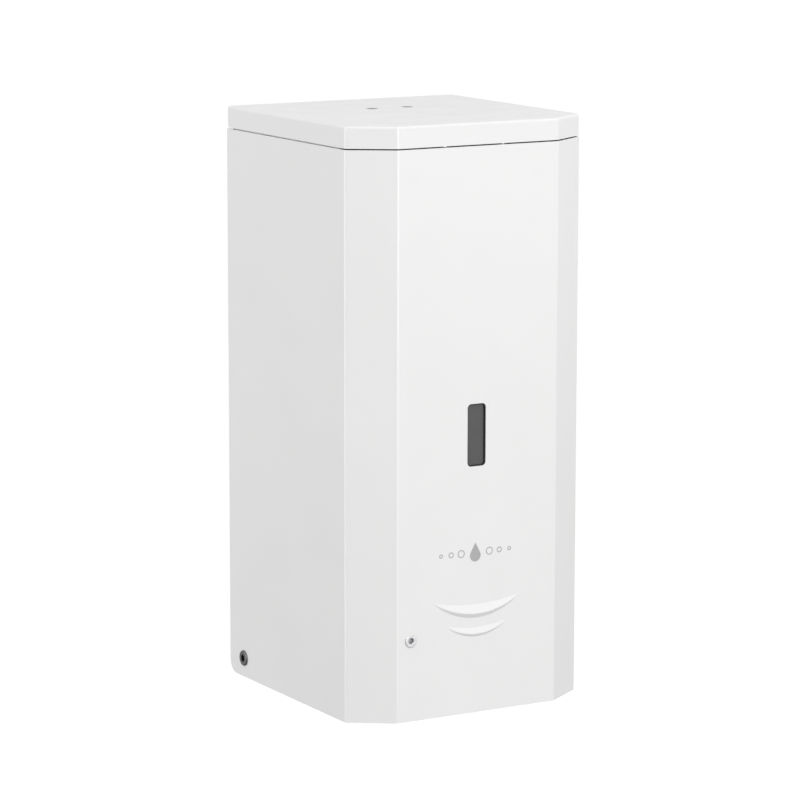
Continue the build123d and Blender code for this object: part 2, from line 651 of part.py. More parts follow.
def hose_path():
    """Down from the tank, clockwise round the rotor's far side and down to the nozzle, all at Y = HOSE_Y."""
    top, bottom = ROTOR_Z + LOOP_R, ROTOR_Z - LOOP_R
    diagonal = HOSE_BEND * (1 - cos(pi / 4))

    def at(x, z):
        return (x, HOSE_Y, z)

    upper = [at(0, SHELF_TOP - 10), at(0, top + HOSE_BEND), at(diagonal, top + diagonal), at(ROTOR_X, top)]
    lower = [at(ROTOR_X, bottom), at(diagonal, bottom - diagonal), at(0, bottom - HOSE_BEND),
             at(0, HOUSE_BOTTOM + 7)]
    return Wire([
        Edge.make_line(upper[0], upper[1]),
        Edge.make_three_point_arc(upper[1], upper[2], upper[3]),
        Edge.make_three_point_arc(upper[3], at(ROTOR_X + LOOP_R, ROTOR_Z), lower[0]),
        Edge.make_three_point_arc(lower[0], lower[1], lower[2]),
        Edge.make_line(lower[2], lower[3]),
    ])


def pump_hose():
    path = hose_path()
    section = Plane(path @ 0, z_dir=path % 0) * (Circle(HOSE_R) - Circle(HOSE_BORE_R))
    return sweep(section, path=path)


def hose_clips():
    """Spring clamps on the hose's two ends."""
    upper = rod_z(HOSE_R + 0.8, 0, HOSE_Y, 72.5, 75.0)
    lower = rod_z(HOSE_R + 0.8, 0, HOSE_Y, 11.5, 14.0)
    ears = block(HOSE_R, HOSE_R + 3.5, HOSE_Y - 1.2, HOSE_Y + 1.2, 72.5, 75.0)
    ears += block(HOSE_R, HOSE_R + 3.5, HOSE_Y - 1.2, HOSE_Y + 1.2, 11.5, 14.0)
    return upper + lower + ears - rod_z(HOSE_R, 0, HOSE_Y, 5, 80)


def nozzle():
    """Barb above the floor, flange on the floor and a tapered spout through it."""
    floor = HOUSE_BOTTOM + HOUSE_WALL
    spout = rod_z(5.0, 0, HOSE_Y, HOUSE_BOTTOM, floor)
    spout += Pos(0, HOSE_Y, HOUSE_BOTTOM - 1.2) * Cone(3.6, 5.0, 2.4)
    spout += rod_z(7.5, 0, HOSE_Y, floor, floor + 2)
    spout += rod_z(HOSE_R, 0, HOSE_Y, floor + 2, HOUSE_BOTTOM + 7)
    spout += rod_z(HOSE_BORE_R, 0, HOSE_Y, floor, 15.5)
    bore = rod_z(1.2, 0, HOSE_Y, 0, 20) + rod_z(2.4, 0, HOSE_Y, 0, HOUSE_BOTTOM + 1)
    return spout - bore


def nozzle_valve():
    """Silicone slit valve in the spout's tip."""
    cup = rod_z(2.4, 0, HOSE_Y, HOUSE_BOTTOM - 2.0, HOUSE_BOTTOM + 1)
    return cup - block(-0.15, 0.15, HOSE_Y - 1.6, HOSE_Y + 1.6, 0, HOUSE_BOTTOM + 2)


PUMP_MOUNTS = [(PARTITION_L + 1, 30.0), (PARTITION_R + 1, 60.0)]
PUMP_COVER_SCREWS = [(32.0, 22.0), (32.0, 68.0), (-6.5, ROTOR_Z)]
M25_R = 1.25
M25_LENGTH = 8.0


def pump_screw_rods(r):
    """The two screws that hold the pump to the housing's partitions."""
    back, front = PUMP_BACK - PUMP_WALL + M25_LENGTH, PUMP_BACK - PUMP_WALL
    (x0, z0), (x1, z1) = PUMP_MOUNTS
    return rod_y(r, x0, back, front, z0) + rod_y(r, x1, back, front, z1)


def board_corners():
    return [(x, y) for x in (BOARD_LEFT + 4, BOARD_RIGHT - 4) for y in (BOARD_BACK - 4, BOARD_FRONT + 4)]


def pump_body():
    """Back wall with the rotor's bearing, and the curved track that the rollers press the hose against."""
    body = block(PARTITION_L - 2, PARTITION_R + 4, PUMP_BACK, PUMP_BACK - PUMP_WALL, 10, 75)
    track = block(ROTOR_X, PUMP_RIGHT, PUMP_BACK - PUMP_WALL, PUMP_FRONT, PUMP_BOTTOM, PUMP_TOP)
    track = fillet(track.edges().filter_by(Axis.Y).sort_by(Axis.X)[-2:], 6)
    body += track + rod_y(3.0, -6.5, PUMP_BACK - PUMP_WALL, PUMP_FRONT, ROTOR_Z)
    body -= rod_y(LOOP_R + HOSE_R + 0.1, ROTOR_X, PUMP_BACK - PUMP_WALL, PUMP_FRONT - 1, ROTOR_Z)
    body -= rod_y(2.0 + RUNNING, ROTOR_X, PUMP_BACK + 1, PUMP_FRONT, ROTOR_Z)
    body -= rod_y(1.5, ROTOR_X, PUMP_BACK + 1, PUMP_FRONT, IDLER_Z)
    for x, z in PUMP_COVER_SCREWS:
        body -= rod_y(M25_R, x, PUMP_FRONT - 1, PUMP_FRONT - 2 + M25_LENGTH, z)
    for x, z in GEAR_PILLARS:
        body -= rod_y(1.5, x, PUMP_BACK + 1, PUMP_BACK - PUMP_WALL - 1, z)
    return body - pump_screw_rods(M25_R)


def small_screws():
    """Nine like M2.5 screws: two through the pump's wall, three through its clear cover and four in the board."""
    screw = socket_screw(2.3, 1.8, M25_R, M25_LENGTH, 1.6)
    facing = [(x, PUMP_BACK - PUMP_WALL, z) for x, z in PUMP_MOUNTS]
    facing += [(x, PUMP_FRONT - 2, z) for x, z in PUMP_COVER_SCREWS]
    placed = [Pos(*place) * Rot(90, 0, 0) * screw for place in facing]
    placed += [Pos(x, y, BOARD_TOP) * screw for x, y in board_corners()]
    return placed[0] + placed[1:]


def pump_cover():
    """Clear front plate with the rotor's outer bearing."""
    plate = block(-9.5, PUMP_RIGHT, PUMP_FRONT, PUMP_FRONT - 2, PUMP_BOTTOM + 2, PUMP_TOP - 2)
    plate = fillet(plate.edges().filter_by(Axis.Y), 4)
    plate -= rod_y(2.0 + RUNNING, ROTOR_X, PUMP_FRONT + 1, PUMP_FRONT - 3, ROTOR_Z)
    for x, z in PUMP_COVER_SCREWS:
        plate -= rod_y(1.25, x, PUMP_FRONT + 1, PUMP_FRONT - 3, z)
    return plate


DISC_FRONT = PUMP_FRONT + 0.8
DISC_BACK = PUMP_BACK - PUMP_WALL - 0.8


def rotor():
    """Two discs on a hub; the rollers run between them."""
    hub = rod_y(3.6, ROTOR_X, DISC_BACK, DISC_FRONT, ROTOR_Z)
    discs = rod_y(11.6, ROTOR_X, DISC_BACK, DISC_BACK - 1.4, ROTOR_Z)
    discs += rod_y(11.6, ROTOR_X, DISC_FRONT, DISC_FRONT + 1.4, ROTOR_Z)
    body = hub + discs - rod_y(2.0, ROTOR_X, PUMP_BACK, PUMP_FRONT, ROTOR_Z)
    for k in range(ROLLERS):
        x, z = roller_centre(k)
        body -= rod_y(ROLLER_PIN_R, x, PUMP_BACK, PUMP_FRONT, z)
    for k in range(ROLLERS):
        angle = radians(150 + 120 * k)
        body -= rod_y(2.2, ROTOR_X + 7.6 * cos(angle), PUMP_FRONT, DISC_FRONT + 2, ROTOR_Z + 7.6 * sin(angle))
    return body


def roller_centre(k):
    angle = radians(90 + 360 / ROLLERS * k)
    return ROTOR_X + ROLLER_PITCH * cos(angle), ROTOR_Z + ROLLER_PITCH * sin(angle)


def roller_pins():
    pins = None
    for k in range(ROLLERS):
        x, z = roller_centre(k)
        pin = rod_y(ROLLER_PIN_R, x, DISC_BACK, DISC_FRONT, z)
        pins = pin if pins is None else pins + pin
    return pins


def roller(k):
    x, z = roller_centre(k)
    body = rod_y(ROLLER_R, x, DISC_BACK - 1.7, DISC_FRONT + 1.7, z)
    body = chamfer(body.edges().filter_by(GeomType.CIRCLE), 0.4)
    return body - rod_y(ROLLER_PIN_R + RUNNING, x, PUMP_BACK, PUMP_FRONT, z)


def rotor_shaft():
    return rod_y(2.0, ROTOR_X, -82.5, PUMP_FRONT - 2.6, ROTOR_Z)


def rotor_gear():
    wheel = gear(ROTOR_TEETH, 4.0, 2.0, -90)
    for k in range(6):
        angle = radians(60 * k + 30)
        wheel -= rod_y(2.6, 9.2 * cos(angle), 1, -6, 9.2 * sin(angle))
    return Pos(ROTOR_X, -84.0, ROTOR_Z) * wheel


def idler_gear():
    """Large wheel driven by the motor and small pinion that drives the rotor's gear, moulded in one."""
    bore = 1.5 + RUNNING
    wheel = Pos(ROTOR_X, -75.0, IDLER_Z) * gear(WHEEL_TEETH, 4.0, bore, 90)
    pinion = Pos(ROTOR_X, -79.0, IDLER_Z) * gear(PINION_TEETH, 9.6, bore, 90 + 180 / PINION_TEETH)
    return wheel + pinion


def idler_pin():
    return rod_y(1.5, ROTOR_X, GEAR_PLATE_Y + 1.2, PUMP_BACK - PUMP_WALL, IDLER_Z)


def motor_pinion():
    return Pos(ROTOR_X, -74.4, MOTOR_Z) * gear(PINION_TEETH, 5.2, 1.0, -90 + 180 / PINION_TEETH)


def motor_shaft():
    return rod_y(1.0, ROTOR_X, -50, -80.0, MOTOR_Z)


GEAR_PILLARS = [(-6.0, 16.0), (33.0, 14.0), (-6.0, 68.0), (33.0, 70.0)]
MOTOR_SCREWS = [(ROTOR_X - 8.0, MOTOR_Z), (ROTOR_X + 8.0, MOTOR_Z)]


def gear_plate():
    """Plate and four pillars that hold the motor and the idler's pin behind the pump."""
    plate = block(-9.5, 37.5, GEAR_PLATE_Y, GEAR_PLATE_Y - 2, 12, 74)
    plate = fillet(plate.edges().filter_by(Axis.Y), 3)
    for x, z in GEAR_PILLARS:
        plate += rod_y(2.8, x, GEAR_PLATE_Y - 2, PUMP_BACK, z)
        plate -= rod_y(1.5, x, GEAR_PLATE_Y + 1, PUMP_BACK - 1, z)
    plate -= rod_y(3.2, ROTOR_X, GEAR_PLATE_Y + 1, GEAR_PLATE_Y - 3, MOTOR_Z)
    plate -= rod_y(1.5, ROTOR_X, GEAR_PLATE_Y + 1, GEAR_PLATE_Y - 3, IDLER_Z)
    for x, z in MOTOR_SCREWS:
        plate -= rod_y(1.25, x, GEAR_PLATE_Y + 1, GEAR_PLATE_Y - 3, z)
    return plate


def gear_screws():
    """Two screws into the motor's face and four long ones through the pillars."""
    screws = None
    for x, z in MOTOR_SCREWS:
        screw = Pos(x, GEAR_PLATE_Y - 2, z) * Rot(90, 0, 0) * socket_screw(2.2, 1.2, 1.25, 4.0, 1.4)
        screws = screw if screws is None else screws + screw
    for x, z in GEAR_PILLARS:
        screw = socket_screw(2.6, 2.0, 1.5, GEAR_PLATE_Y - PUMP_BACK + PUMP_WALL, 2.0)
        screws += Pos(x, GEAR_PLATE_Y, z) * Rot(-90, 0, 0) * screw
    return screws


def motor():
    """Small direct-current motor: can, front boss, plastic end cap and two terminals."""
    can = rod_y(MOTOR_R, ROTOR_X, MOTOR_BACK, GEAR_PLATE_Y, MOTOR_Z)
    can = fillet(can.edges().filter_by(GeomType.CIRCLE), 1.0)
    can &= block(-20, 60, MOTOR_BACK, GEAR_PLATE_Y, MOTOR_Z - 10.2, MOTOR_Z + 10.2)
    can += rod_y(3.1, ROTOR_X, GEAR_PLATE_Y, GEAR_PLATE_Y - 1.8, MOTOR_Z)
    can += rod_y(10.0, ROTOR_X, MOTOR_BACK, MOTOR_BACK + 1.6, MOTOR_Z)
    can += rod_y(3.5, ROTOR_X, MOTOR_BACK + 1.6, MOTOR_BACK + 3.2, MOTOR_Z)
    for side in (-1, 1):
        can += block(ROTOR_X + side * 7 - 1, ROTOR_X + side * 7 + 1, MOTOR_BACK, MOTOR_BACK + 5,
                     MOTOR_Z - 0.3, MOTOR_Z + 0.3)
    for x, z in MOTOR_SCREWS:
        can -= rod_y(1.25, x, GEAR_PLATE_Y + 2, GEAR_PLATE_Y - 1, z)
    return can - rod_y(1.0 + RUNNING, ROTOR_X, -49.5, GEAR_PLATE_Y - 4, MOTOR_Z)


# --- power and electronics -----------------------------------------------------------------------------------------


CELL_CENTRES = [(CASE_X + dx, (CASE_BOTTOM + CASE_TOP) / 2 + dz) for dx in (-7.4, 7.4) for dz in (-7.4, 7.4)]


def battery_case():
    """Open-fronted box with a groove down each side for its door, and a ledge that the door stands on."""
    case = block(CASE_X - CASE_HALF, CASE_X + CASE_HALF, CASE_BACK, CASE_FRONT, CASE_BOTTOM, CASE_TOP)
    case -= block(CASE_X - CASE_HALF + CASE_WALL, CASE_X + CASE_HALF - CASE_WALL, CASE_BACK - CASE_WALL,
                  CASE_FRONT - 1, CASE_BOTTOM + CASE_WALL, CASE_TOP - CASE_WALL)
    stop = CASE_BOTTOM - DOOR_GAP
    case += block(CASE_X - CASE_HALF, CASE_X + CASE_HALF, CASE_FRONT + 2, CASE_FRONT, stop - 1.3, CASE_BOTTOM)
    case += block(CASE_X - CASE_HALF, CASE_X + CASE_HALF, CASE_FRONT, CASE_FRONT - 2.4, stop - 1.3, stop)
    for side in (-1, 1):
        outer = CASE_X + side * (CASE_HALF + 2.4)
        case += block(CASE_X + side * CASE_HALF, outer, CASE_FRONT + 4, CASE_FRONT - 3.4, CASE_BOTTOM, CASE_TOP)
        case += block(CASE_X + side * (CASE_HALF - 1.0), outer, CASE_FRONT - 2.4, CASE_FRONT - 3.4,
                      CASE_BOTTOM, CASE_TOP)
    return case


def battery_door():
    """Flat door that slides up in the case's grooves, with a ribbed thumb pad."""
    back = CASE_FRONT - DOOR_GAP
    half = CASE_HALF - DOOR_GAP
    door = block(CASE_X - half, CASE_X + half, back, back - 2.0, CASE_BOTTOM, CASE_TOP - 0.4)
    for k in range(5):
        z = CASE_BOTTOM + 12 + 2.6 * k
        rib = block(CASE_X - 8, CASE_X + 8, back - 2.0, back - 3.0, z, z + 1.2)
        door += fillet(rib.edges().filter_by(Axis.X), 0.4)
    return door


def batteries():
    cells = None
    for x, z in CELL_CENTRES:
        cell = rod_y(CELL_R, x, CASE_BACK - 3.3, CASE_BACK - 3.3 - CELL_LENGTH + 1.2, z)
        cell = fillet(cell.edges().filter_by(GeomType.CIRCLE), 0.8)
        end = -1 if z > (CASE_BOTTOM + CASE_TOP) / 2 else 1
        middle = CASE_BACK - 3.3 - (CELL_LENGTH - 1.2) / 2
        button = (CELL_LENGTH - 1.2) / 2
        cell += rod_y(2.7, x, middle + end * button, middle + end * (button + 1.2), z)
        cells = cell if cells is None else cells + cell
    return cells


def battery_contacts():
    """Nickel plates behind each column of cells."""
    y = CASE_BACK - CASE_WALL
    plates = None
    for dx in (-7.4, 7.4):
        plate = block(CASE_X + dx - 5, CASE_X + dx + 5, y, y - 0.5, CASE_BOTTOM + 5, CASE_TOP - 5)
        plates = plate if plates is None else plates + plate
    return plates


def circuit_board():
    board = block(BOARD_LEFT, BOARD_RIGHT, BOARD_BACK, BOARD_FRONT, BOARD_BOTTOM, BOARD_TOP)
    for x, y in board_corners():
        board -= rod_z(M25_R, x, y, BOARD_BOTTOM - 1, BOARD_TOP + 1)
    return board


CONNECTORS = [(-46.0, -48.0), (-32.0, -48.0), (-20.0, -66.0)]


def board_parts():
    """Controller, driver, capacitor, choke, crystal and three plug sockets."""
    parts = block(-39, -29, -74, -84, BOARD_TOP, BOARD_TOP + 1.6)
    parts += block(-50, -43, -66, -76, BOARD_TOP, BOARD_TOP + 4.0)
    parts += rod_z(5.0, -47, -88, BOARD_TOP, BOARD_TOP + 15)
    parts += rod_z(4.5, -21, -78, BOARD_TOP, BOARD_TOP + 5)
    parts += block(-25, -18, -90, -94, BOARD_TOP, BOARD_TOP + 3.2)
    for x, y in CONNECTORS:
        socket = block(x - 4.5, x + 4.5, y - 3, y + 3, BOARD_TOP, BOARD_TOP + 6)
        parts += socket - block(x - 3.5, x + 3.5, y - 2, y + 2, BOARD_TOP + 1, BOARD_TOP + 7)
    return parts


def status_led():
    """Lamp on a riser, just behind the cover's light pipe."""
    riser = block(LIGHT_X - 3.5, LIGHT_X + 3.5, -97, -102.5, BOARD_TOP, LIGHT_Z + 3.5)
    lamp = rod_y(2.5, LIGHT_X, -102.5, -110, LIGHT_Z)
    return riser + fillet(lamp.edges().group_by(Axis.Y)[0], 2.2)


def hand_sensor():
    """Infrared emitter and receiver in a shroud, looking down through the sensor window."""
    floor = HOUSE_BOTTOM + HOUSE_WALL
    sensor = block(-8.8, 8.8, SENSOR_Y + 4.5, SENSOR_Y - 4.5, floor, SENSOR_TOP)
    for side in (-1, 1):
        sensor -= rod_z(2.9, side * 4.2, SENSOR_Y, floor - 1, floor + 4)
        eye = rod_z(2.5, side * 4.2, SENSOR_Y, floor + 0.4, floor + 4)
        sensor += fillet(eye.edges().group_by(Axis.Z)[0], 2.0)
    return sensor


def sensor_window():
    """Dark filter let into the housing's floor."""
    floor = HOUSE_BOTTOM + HOUSE_WALL
    plate = block(-9, 9, SENSOR_Y + 5, SENSOR_Y - 5, HOUSE_BOTTOM, floor)
    return plate - block(-7.5, 7.5, SENSOR_Y + 3.5, SENSOR_Y - 3.5, floor - 0.8, floor + 1)


def inner_leads():
    """Six insulated wires from the battery case, the motor and the hand sensor to the board's sockets."""
    end = BOARD_TOP + 1
    wires = []
    for k, side in enumerate((-1, 1)):
        (x, y) = CONNECTORS[0]
        wires.append(([(x + side, CASE_BACK, 60), (x + side, y, 60), (x + side, y, end)], 4.0))
        (x, y) = CONNECTORS[1]
        start, turn, level = ROTOR_X + 7 * side, MOTOR_LEAD_Y - 1 + 2 * k, LEAD_Z - 1 + 2 * k
        wires.append(([(start, MOTOR_BACK + 5, MOTOR_Z), (start, turn, MOTOR_Z), (start, turn, level),
                       (x - side, turn, level), (x - side, y, level), (x - side, y, end)], 4.0))
        (x, y) = CONNECTORS[2]
        wires.append(([(-5, y + side, SENSOR_TOP), (-5, y + side, LEAD_Z), (x, y + side, LEAD_Z),
                       (x, y + side, end)], 5.0))
    placed = [tube(points, radius, LEAD_R) for points, radius in wires]
    return placed[0] + placed[1:]


# --- export --------------------------------------------------------------------------------------------------------


def parts():
    nodes = {
        "front_cover": front_cover(), "top_lid": top_lid(), "lid_screws": lid_screws(),
        "back_plate": back_plate(), "pivot_screws": pivot_screws(), "pivot_washers": pivot_washers(),
        "pivot_nuts": pivot_nuts(),
        "level_window": level_window(), "window_gasket": window_gasket(), "window_retainer": window_retainer(),
        "retainer_nuts": retainer_nuts(), "light_bezel": light_bezel(), "light_pipe": light_pipe(),
        "bezel_nut": bezel_nut(),
        "cover_catch": cover_catch(), "catch_rivets": catch_rivets(), "latch_bracket": latch_bracket(),
        "latch_pin": latch_pin(), "latch_lever": latch_lever(), "latch_pads": latch_pads(),
        "latch_spring": latch_spring(),
        "base_housing": base_housing(), "housing_screws": housing_screws(),
        "soap_tank": soap_tank(), "filler_seal": filler_seal(), "filler_cap": filler_cap(),
        "tank_clips": tank_clips(), "tank_seal": tank_seal(), "inlet_fitting": inlet_fitting(),
        "pump_hose": pump_hose(), "hose_clips": hose_clips(), "nozzle": nozzle(), "nozzle_valve": nozzle_valve(),
        "pump_body": pump_body(), "pump_cover": pump_cover(), "small_screws": small_screws(),
        "rotor": rotor(), "rotor_shaft": rotor_shaft(), "rotor_gear": rotor_gear(), "roller_pins": roller_pins(),
        "idler_gear": idler_gear(), "idler_pin": idler_pin(), "motor_pinion": motor_pinion(),
        "motor_shaft": motor_shaft(), "gear_plate": gear_plate(), "gear_screws": gear_screws(), "motor": motor(),
        "battery_case": battery_case(), "battery_door": battery_door(), "batteries": batteries(),
        "battery_contacts": battery_contacts(),
        "circuit_board": circuit_board(), "board_parts": board_parts(), "status_led": status_led(),
        "hand_sensor": hand_sensor(), "sensor_window": sensor_window(),
        "inner_leads": inner_leads(),
    }
    for k in range(ROLLERS):
        nodes[f"roller_{k + 1}"] = roller(k)
    return nodes


def export():
    os.makedirs("parts", exist_ok=True)
    for name, shape in parts().items():
        export_step(Pos(0, 0, -BOLT_CENTRE_Z) * shape, f"parts/{name}.step")


export()
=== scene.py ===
"""Wall mounted touch-free soap dispenser in a white studio: finishes for the CAD parts, a small printed
pictogram, lights, floor and camera. All lengths are in metres, in the frame of the CAD model."""

import math

import bpy
from mathutils import Matrix, Vector


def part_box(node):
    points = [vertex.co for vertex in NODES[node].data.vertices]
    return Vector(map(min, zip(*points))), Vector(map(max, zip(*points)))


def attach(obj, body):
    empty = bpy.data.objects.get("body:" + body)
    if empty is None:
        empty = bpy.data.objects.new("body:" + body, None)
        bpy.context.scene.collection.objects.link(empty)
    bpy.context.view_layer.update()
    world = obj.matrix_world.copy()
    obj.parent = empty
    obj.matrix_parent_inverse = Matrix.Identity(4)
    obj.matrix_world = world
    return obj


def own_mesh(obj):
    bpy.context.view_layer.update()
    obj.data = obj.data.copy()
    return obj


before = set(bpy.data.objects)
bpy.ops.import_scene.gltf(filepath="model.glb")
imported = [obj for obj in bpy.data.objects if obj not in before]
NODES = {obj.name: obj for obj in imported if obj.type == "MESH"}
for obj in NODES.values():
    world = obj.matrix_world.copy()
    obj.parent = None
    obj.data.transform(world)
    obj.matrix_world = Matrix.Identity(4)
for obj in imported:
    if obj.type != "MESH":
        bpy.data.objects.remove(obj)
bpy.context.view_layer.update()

MM = 0.001

# Planes of the casing, from the CAD parts
COVER_LOW, COVER_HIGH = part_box("front_cover")
LID_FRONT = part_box("top_lid")[0].y
LID_INSET = 0.2 * MM
FRONT_Y = LID_FRONT - LID_INSET
BASE_Z = COVER_LOW.z

# Camera, set up to the photograph's viewing angle
AZIMUTH = math.radians(-30.176)
ELEVATION = math.radians(9.866)
ROLL = math.radians(-0.089)
CAMERA_DISTANCE = 1.80605
AIM_RIGHT = 0.0286
AIM_UP = 0.12613
LENS = 164.07
SENSOR = 36.0
CLIP_NEAR = 0.05
CLIP_FAR = 500.0

# Studio. The surroundings turn from GROUND to white between the two ramp positions; 0.5 is the horizon.
FLOOR_DROP = 1.2
FLOOR_SIZE = 160.0
FLOOR_WHITE = 0.97
SKY = 1.04
GROUND = 0.36
RAMP_LOW = 0.37
RAMP_HIGH = 0.47
PAINT_WHITE = 0.545

# name: azimuth and elevation in degrees, distance, width, height, power in watts
LIGHTS = {
    "front": (2, 3, 2.4, 0.8, 1.2, 30.5),
    "front_high": (-4, 42, 0.95, 0.9, 0.5, 2.9),
    "left": (-114, 2, 2.0, 1.2, 1.4, 22.5),
    "right": (62, 4, 2.4, 1.0, 1.4, 5.0),
}


# --- material helpers -----------------------------------------------------------------------------------------------


class Finish:
    """A Principled material whose colour, roughness and relief come from noise in object coordinates."""

    def __init__(self, name, **sockets):
        self.material = bpy.data.materials.new(name)
        self.material.use_nodes = True
        self.tree = self.material.node_tree
        self.shader = self.tree.nodes["Principled BSDF"]
        for socket, value in sockets.items():
            self.shader.inputs[socket.replace("_", " ").title().replace("Ior", "IOR")].default_value = value
        self.coords = self.node("ShaderNodeTexCoord").outputs["Object"]
        self.normal = None

    def node(self, kind, **settings):
        made = self.tree.nodes.new(kind)
        for key, value in settings.items():
            if key in made.inputs:
                made.inputs[key].default_value = value
            else:
                setattr(made, key, value)
        return made

    def link(self, source, target):
        self.tree.links.new(source, target)

    def noise(self, scale, detail=3.0, stretch=(1, 1, 1), roughness=0.5):
        """Noise of `scale` cycles per metre, stretched along the axes given."""
        mapping = self.node("ShaderNodeMapping")
        mapping.inputs["Scale"].default_value = stretch
        noise = self.node("ShaderNodeTexNoise", Scale=scale, Detail=detail, Roughness=roughness)
        self.link(self.coords, mapping.inputs["Vector"])
        self.link(mapping.outputs["Vector"], noise.inputs["Vector"])
        return noise.outputs["Fac"]

    def ramp(self, source, *stops):
        """Colours at positions along source."""
        ramp = self.node("ShaderNodeValToRGB")
        elements = ramp.color_ramp.elements
        while len(elements) < len(stops):
            elements.new(0.5)
        for element, (position, colour) in zip(elements, stops):
            element.position = position
            element.color = (*colour[:3], 1.0)
        self.link(source, ramp.inputs["Fac"])
        return ramp.outputs["Color"]

    def mottle(self, colour, change, scale, **kind):
        """Base colour that drifts by the share `change` of itself."""
        darker = [c * (1 - change) for c in colour]
        lighter = [min(1.0, c * (1 + change)) for c in colour]
        self.colour(self.ramp(self.noise(scale, **kind), (0.3, darker), (0.7, lighter)))
        return self

    def colour(self, source):
        self.link(source, self.shader.inputs["Base Color"])
        return self

    def gloss(self, low, high, scale, **kind):
        """Roughness that drifts between low and high."""
        spread = self.node("ShaderNodeMapRange")
        spread.inputs["From Min"].default_value = 0.3
        spread.inputs["From Max"].default_value = 0.7
        spread.inputs["To Min"].default_value = low
        spread.inputs["To Max"].default_value = high
        self.link(self.noise(scale, **kind), spread.inputs["Value"])
        self.link(spread.outputs["Result"], self.shader.inputs["Roughness"])
        return self

    def relief(self, height, scale, **kind):
        """Bumps of that height in metres."""
        return self.bump(self.noise(scale, **kind), height)

    def bump(self, source, height):
        bump = self.node("ShaderNodeBump", Distance=height, Strength=1.0)
        self.link(source, bump.inputs["Height"])
        if self.normal is not None:
            self.link(self.normal, bump.inputs["Normal"])
        self.normal = bump.outputs["Normal"]
        self.link(self.normal, self.shader.inputs["Normal"])
        return self

    def coat_relief(self):
        """The clear coat follows the same relief."""
        self.link(self.normal, self.shader.inputs["Coat Normal"])
        return self


def grey(value):
    return (value, value, value)


def powder_coat(name, white):
    """Epoxy powder coat: a very fine orange peel under a satin skin."""
    finish = Finish(name, roughness=0.38, coat_weight=0.25, coat_roughness=0.22, ior=1.5)
    finish.mottle((white, white, white * 0.997), 0.012, 9.0, detail=4.0)
    finish.gloss(0.34, 0.44, 55.0)
    finish.relief(0.010 * MM, 620.0, detail=1.5)
    finish.relief(0.05 * MM, 14.0, detail=1.0)
    return finish.coat_relief().material


def sheet_metal(name, shade, direction, rough=(0.28, 0.42)):
    """Rolled or brushed metal, its grain along the axis left unstretched in `direction`."""
    finish = Finish(name, metallic=1.0)
    finish.mottle(shade, 0.10, 60.0, stretch=direction, detail=5.0)
    finish.gloss(*rough, 90.0, stretch=direction, detail=6.0)
    return finish.relief(0.006 * MM, 260.0, stretch=direction, detail=4.0).material


def plated(name, shade, rough=(0.18, 0.32)):
    """Small plated steel parts, with faint tumbling marks."""
    finish = Finish(name, metallic=1.0)
    finish.mottle(shade, 0.07, 320.0)
    finish.gloss(*rough, 500.0)
    return finish.relief(0.004 * MM, 900.0).material


def moulded(name, shade, rough=(0.4, 0.55), texture=0.012, **sockets):
    """Moulded plastic with a fine spark-eroded texture."""
    finish = Finish(name, **sockets)
    finish.mottle(shade, 0.04, 30.0)
    finish.gloss(*rough, 120.0)
    return finish.relief(texture * MM, 1500.0, detail=2.0).material


def clear(name, tint, rough=(0.03, 0.08), alpha=1.0, **sockets):
    """Polished clear or tinted plastic."""
    finish = Finish(name, ior=1.49, alpha=alpha, **sockets)
    finish.mottle(tint, 0.04, 60.0)
    finish.gloss(*rough, 200.0)
    return finish.relief(0.002 * MM, 300.0).material


def elastomer(name, shade, rough=(0.6, 0.8), **sockets):
    """Rubber or silicone, dull, with a dusty bloom."""
    finish = Finish(name, **sockets)
    finish.mottle(shade, 0.12, 140.0)
    finish.gloss(*rough, 200.0)
    return finish.relief(0.01 * MM, 1200.0).material


TRACKS_PER_METRE = 260


def circuit_green():
    """Solder mask over copper tracks, which show as paler lines."""
    finish = Finish("board_green", coat_weight=0.5, coat_roughness=0.15)
    mapping = finish.node("ShaderNodeMapping")
    mapping.inputs["Scale"].default_value = [TRACKS_PER_METRE] * 3
    finish.link(finish.coords, mapping.inputs["Vector"])
    tracks = finish.node("ShaderNodeTexBrick", Scale=1.0)
    tracks.inputs["Mortar Size"].default_value = 0.09
    tracks.inputs["Brick Width"].default_value = 1.7
    tracks.inputs["Row Height"].default_value = 0.42
    tracks.inputs["Color1"].default_value = (0.010, 0.090, 0.035, 1)
    tracks.inputs["Color2"].default_value = (0.014, 0.110, 0.045, 1)
    tracks.inputs["Mortar"].default_value = (0.030, 0.190, 0.085, 1)
    finish.link(mapping.outputs["Vector"], tracks.inputs["Vector"])
    finish.colour(tracks.outputs["Color"])
    finish.gloss(0.25, 0.4, 200.0)
    return finish.bump(tracks.outputs["Fac"], 0.02 * MM).material


# Share of the status lamp's depth taken by the lamp itself
LAMP_END = 0.575


def along_y(finish, node):
    """Runs from 0 at the node's front to 1 at its back."""
    split = finish.node("ShaderNodeSeparateXYZ")
    finish.link(finish.coords, split.inputs["Vector"])
    low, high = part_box(node)
    place = finish.node("ShaderNodeMapRange")
    place.inputs["From Min"].default_value = low.y
    place.inputs["From Max"].default_value = high.y
    finish.link(split.outputs["Y"], place.inputs["Value"])
    return place.outputs["Result"]


def lamp_on_riser():
    """A red lamp in front of a pale riser."""
    finish = Finish("lamp_on_riser", ior=1.49)
    red, pale = (0.55, 0.10, 0.08), (0.62, 0.62, 0.60)
    place = along_y(finish, "status_led")
    finish.colour(finish.ramp(place, (LAMP_END - 0.01, red), (LAMP_END, pale)))
    finish.gloss(0.15, 0.35, 200.0)
    return finish.relief(0.004 * MM, 600.0).material


